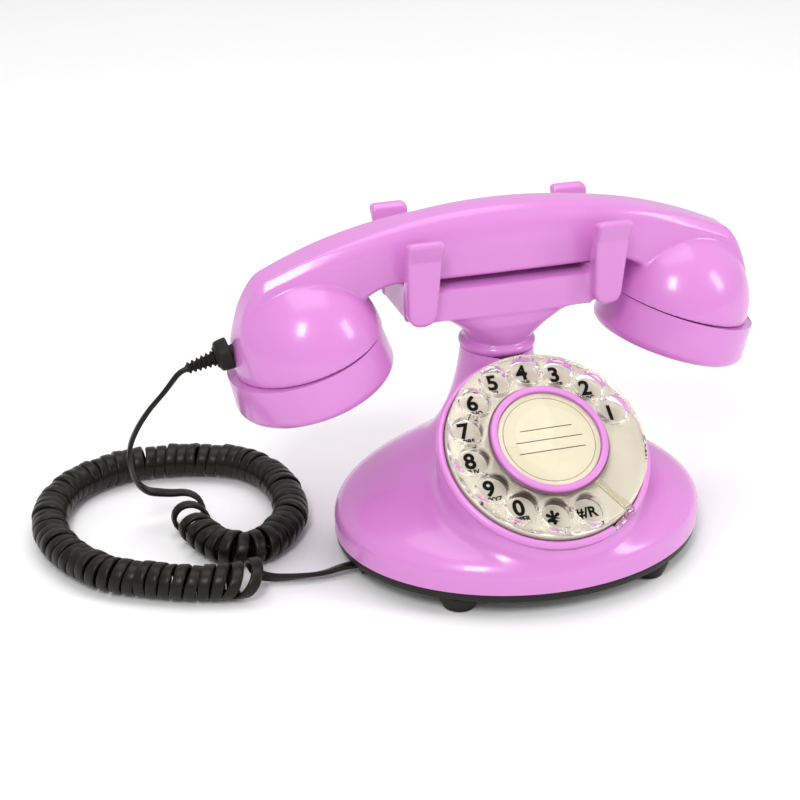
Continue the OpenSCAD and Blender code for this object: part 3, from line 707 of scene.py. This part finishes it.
def sound_holes(obj, side):
    holes = bmesh.new()
    rings = [(0, 1), (6, 6), (12, 12)]
    for r, count_of in rings:
        for k in range(count_of):
            a = 2 * math.pi * k / count_of
            drill = lathe("drill", [(0, -3), (1.1, -3), (1.1, 30), (0, 30)],
                          cup_space(side) @ Matrix.Translation((r * math.cos(a), r * math.sin(a), 0)), 20)
            holes.from_mesh(drill)
            bpy.data.meshes.remove(drill)
    carve(obj, "drills", holes)


for name, side in (("receiver_cap", 1), ("transmitter_cap", -1)):
    cap_obj = piece(name + "_turned", lathe(name + "_turned", cap_outline, cup_space(side), 160), "pink_gloss",
                    "handset", (name,), sharp=30)
    sound_holes(cap_obj, side)


# ---------------------------------------------------------------- dial
def turned(p):
    return np.sqrt(p[..., 0] ** 2 + p[..., 1] ** 2)


def turn_by(p, degrees):
    """The point seen from axes turned by an angle round the dial's own axis."""
    c, s = math.cos(math.radians(degrees)), math.sin(math.radians(degrees))
    return np.stack([p[..., 0] * c + p[..., 1] * s, p[..., 1] * c - p[..., 0] * s, p[..., 2]], axis=-1)


BEZEL_LINE = [(BEZEL_IN, -2.9), (BEZEL_R - 0.5, -2.9)] + arc(BEZEL_R - 1.6, -0.9, 1.6, -20, 160, 9) + [(BEZEL_IN, 0)]


def bezel_field(p):
    ring_field = polygon_field(turned(p), p[..., 2], BEZEL_LINE)
    notch = box_field(turn_by(p, STOP_ANGLE), (BEZEL_IN - 3, -NOTCH_W / 2, -6), (BEZEL_R + 4, NOTCH_W / 2, 8))
    return most(ring_field, -notch, 0.8)


bezel = surface("dial_bezel_moulded", bezel_field, (-46, -46, -4), (46, 46, 2.5), 0.5, dial_space)
piece("dial_bezel_moulded", bezel, "pink_gloss", "base", ("dial_bezel",), sharp=50)

plate_outline = [(6, -0.6), (PLATE_R, -0.6)] + arc(PLATE_R - 0.4, PLATE_S - 0.4, 0.4, 0, 90, 3) + [(6, PLATE_S)]
piece("number_plate_disc", lathe("number_plate_disc", plate_outline, dial_space, 180), "champagne_plate", "base",
      ("number_plate",))

hole_angles = [HOLE_FIRST + k * HOLE_STEP for k in range(HOLE_N)]


def wheel_field(p):
    r, z = turned(p), p[..., 2]
    disc = np.maximum(most(r - WHEEL_R, z - WHEEL_TOP, 1.0), WHEEL_S - z)
    disc = most(disc, WHEEL_S - z, 0.3)
    f = np.maximum(disc, 4.0 - r)
    for a in hole_angles:
        ca, sa = HOLE_RING_R * math.cos(math.radians(a)), HOLE_RING_R * math.sin(math.radians(a))
        q = np.sqrt((p[..., 0] - ca) ** 2 + (p[..., 1] - sa) ** 2)
        rim = np.sqrt((q - FINGER_R - 0.75) ** 2 + (z - WHEEL_TOP + 0.2) ** 2) - 0.75
        f = least(f, np.maximum(rim, r - WHEEL_R), 0.3)
        f = most(f, FINGER_R - q, 0.5)
    return f


piece("finger_wheel_clear", surface("finger_wheel_clear", wheel_field, (-42, -42, 2), (42, 42, 9), 0.5, dial_space),
      "clear_acrylic", "dial", ("finger_wheel",), sharp=50)

piece("hub_ring_turned", lathe("hub_ring_turned",
      [(LABEL_R + 0.1, WHEEL_TOP), (HUB_R - 0.1, WHEEL_TOP)] + arc(HUB_R - 0.9, WHEEL_TOP + 1.6, 0.8, 0, 90, 5)
      + arc(LABEL_R + 0.8, WHEEL_TOP + 1.8, 0.6, 90, 180, 5), dial_space, 160), "pink_gloss", "dial", ("hub_ring",))
piece("hub_edge_line", lathe("hub_edge_line", arc(HUB_R + 0.3, WHEEL_TOP + 0.4, 0.36, 0, 330, 8), dial_space, 160),
      "edge_line", "dial", ())
card_outline = [(r, WHEEL_TOP + z) for r, z in ((0, 0.02), (LABEL_R - 0.15, 0.02), (LABEL_R - 0.15, 0.4), (0, 0.4))]
piece("label_card_disc", lathe("label_card_disc", card_outline, dial_space, 160), "cream_card", "dial",
      ("label_card",))
piece("label_lens_clear", lathe("label_lens_clear", [(0, WHEEL_TOP + 0.6), (LABEL_R - 0.2, WHEEL_TOP + 0.6)]
      + arc(LABEL_R - 0.7, WHEEL_TOP + 1.1, 0.5, 0, 80, 4) + [(LABEL_R * 0.6, WHEEL_TOP + 1.9), (0, WHEEL_TOP + 2.1)],
      dial_space, 160), "clear_acrylic", "dial", ("label_lens",))


def stop_field(p):
    q = turn_by(p, STOP_ANGLE)
    low = WHEEL_TOP + 0.95
    bar = box_field(q, (HUB_R + 1.6, -1.2, low + 0.3), (BEZEL_R - 0.9, 1.2, low + 0.8)) - 0.4
    leg = box_field(q, (BEZEL_IN + 0.9, -1.2, -2), (BEZEL_IN + 1.9, 1.2, low + 0.6)) - 0.4
    foot = box_field(q, (BEZEL_IN + 0.9, -NOTCH_W / 2 + 0.7, -2.4), (BEZEL_IN + 1.9, NOTCH_W / 2 - 0.7, 1.8)) - 0.4
    return least(least(bar, leg, 0.8), foot, 0.8)


piece("finger_stop_clear", surface("finger_stop_clear", stop_field, (8, -44, -4), (30, -16, 11), 0.35, dial_space),
      "smoke_acrylic", "base", ("finger_stop",), sharp=50)


def typeset(words, size, x, y, s, name, look, body, turn=0.0, deep=0.05, bold=0.0):
    """Generic numerals and letters, as thin raised print."""
    curve = bpy.data.curves.new(name, "FONT")
    curve.body = words
    curve.size = size
    curve.align_x, curve.align_y = "CENTER", "CENTER"
    curve.extrude = deep
    curve.resolution_u = 6
    curve.offset = bold
    text = bpy.data.objects.new(name, curve)
    scene.collection.objects.link(text)
    mesh = bpy.data.meshes.new_from_object(text.evaluated_get(bpy.context.evaluated_depsgraph_get()))
    bpy.data.objects.remove(text)
    mesh.transform(dial_space @ Matrix.Translation((x, y, s)) @ Matrix.Rotation(turn, 4, "Z"))
    mesh.materials.clear()
    return piece(name, mesh, look, body, (), smooth=False)


KEYS = [("1", ""), ("2", "ABC"), ("3", "DEF"), ("4", "GHI"), ("5", "JKL"), ("6", "MNO"), ("7", "PQRS"), ("8", "TUV"),
        ("9", "WXYZ"), ("0", "OPER"), ("*", ""), ("#/R", "")]
DIGIT_SIZE, STAR_SIZE, HASH_SIZE, LETTER_SIZE = 9.4, 13.0, 6.2, 2.8
DIGIT_UP, LONE_DIGIT_UP, STAR_DOWN, LETTERS_DOWN = 1.6, 0.6, 2.2, 3.05
PRINT_S = PLATE_S + 0.06
for (digit, letters), a in zip(KEYS, hole_angles):
    cx, cy = HOLE_RING_R * math.cos(math.radians(a)), HOLE_RING_R * math.sin(math.radians(a))
    tag = "key_" + {"*": "star", "#/R": "hash"}.get(digit, digit)
    size = {"*": STAR_SIZE, "#/R": HASH_SIZE}.get(digit, DIGIT_SIZE)
    digit_y = cy + (DIGIT_UP if letters else LONE_DIGIT_UP) - (STAR_DOWN if digit == "*" else 0)
    typeset(digit, size, cx, digit_y, PRINT_S, tag, "print_ink", "base",
            bold=0.3 if len(digit) == 1 else 0.18)
    if letters:
        typeset(letters, LETTER_SIZE, cx, cy - LETTERS_DOWN, PRINT_S, tag + "_letters", "print_ink", "base",
                bold=0.12)

# a plain card for the telephone's own number: a border and ruled lines
card_lines = bmesh.new()
for half, y in ((11.0, 5.0), (14.0, 0.0), (14.0, -5.0)):
    line_bar = [(x, y + dy, WHEEL_TOP + 0.42)
                for x, dy in ((-half, -0.18), (half, -0.18), (half, 0.18), (-half, 0.18))]
    card_lines.faces.new([card_lines.verts.new(dial_space @ Vector(p)) for p in line_bar])
card_mesh = bpy.data.meshes.new("card_ruled_lines")
card_lines.to_mesh(card_mesh)
card_lines.free()
piece("card_ruled_lines", card_mesh, "print_ink", "dial", (), smooth=False)
card_edge = lathe("card_border", [(18.6, WHEEL_TOP + 0.41), (18.9, WHEEL_TOP + 0.41), (18.9, WHEEL_TOP + 0.44),
                                  (18.6, WHEEL_TOP + 0.44)], dial_space, 160)
piece("card_border", card_edge, "edge_line", "dial", ())

for see_through in ("finger_wheel_clear", "label_lens_clear", "finger_stop_clear"):
    bpy.data.objects[see_through].visible_shadow = False

# ---------------------------------------------------------------- floor and light
floor_mesh = bpy.data.meshes.new("floor")
floor_mesh.from_pydata([(-6, -6, 0), (6, -6, 0), (6, 6, 0), (-6, 6, 0)], [], [(0, 1, 2, 3)])
floor = bpy.data.objects.new("floor", floor_mesh)
scene.collection.objects.link(floor)
floor_mesh.materials.append(materials["table_top"])
floor.location.z = -0.0002


def soft_light(name, place, aim, size, power, colour=(1, 1, 1)):
    data = bpy.data.lights.new(name, "AREA")
    data.shape = "RECTANGLE"
    data.size, data.size_y = size
    data.energy = power
    data.color = colour
    lamp = bpy.data.objects.new(name, data)
    lamp.location = place
    lamp.rotation_euler = (Vector(aim) - Vector(place)).to_track_quat("-Z", "Y").to_euler()
    scene.collection.objects.link(lamp)


soft_light("key", (-0.55, -0.9, 1.15), (0, 0, 0.07), (0.28, 0.5), 8)
soft_light("fill", (1.1, -0.7, 0.8), (0, 0, 0.06), (0.3, 0.6), 5)
soft_light("top", (0.0, 0.3, 1.5), (0, 0, 0.05), (1.2, 1.2), 8.5)
world = bpy.data.worlds.new("studio")
world.use_nodes = True
world.node_tree.nodes["Background"].inputs["Color"].default_value = (1, 1, 1, 1)
world.node_tree.nodes["Background"].inputs["Strength"].default_value = 0.68
scene.world = world
scene.view_settings.view_transform = "Standard"
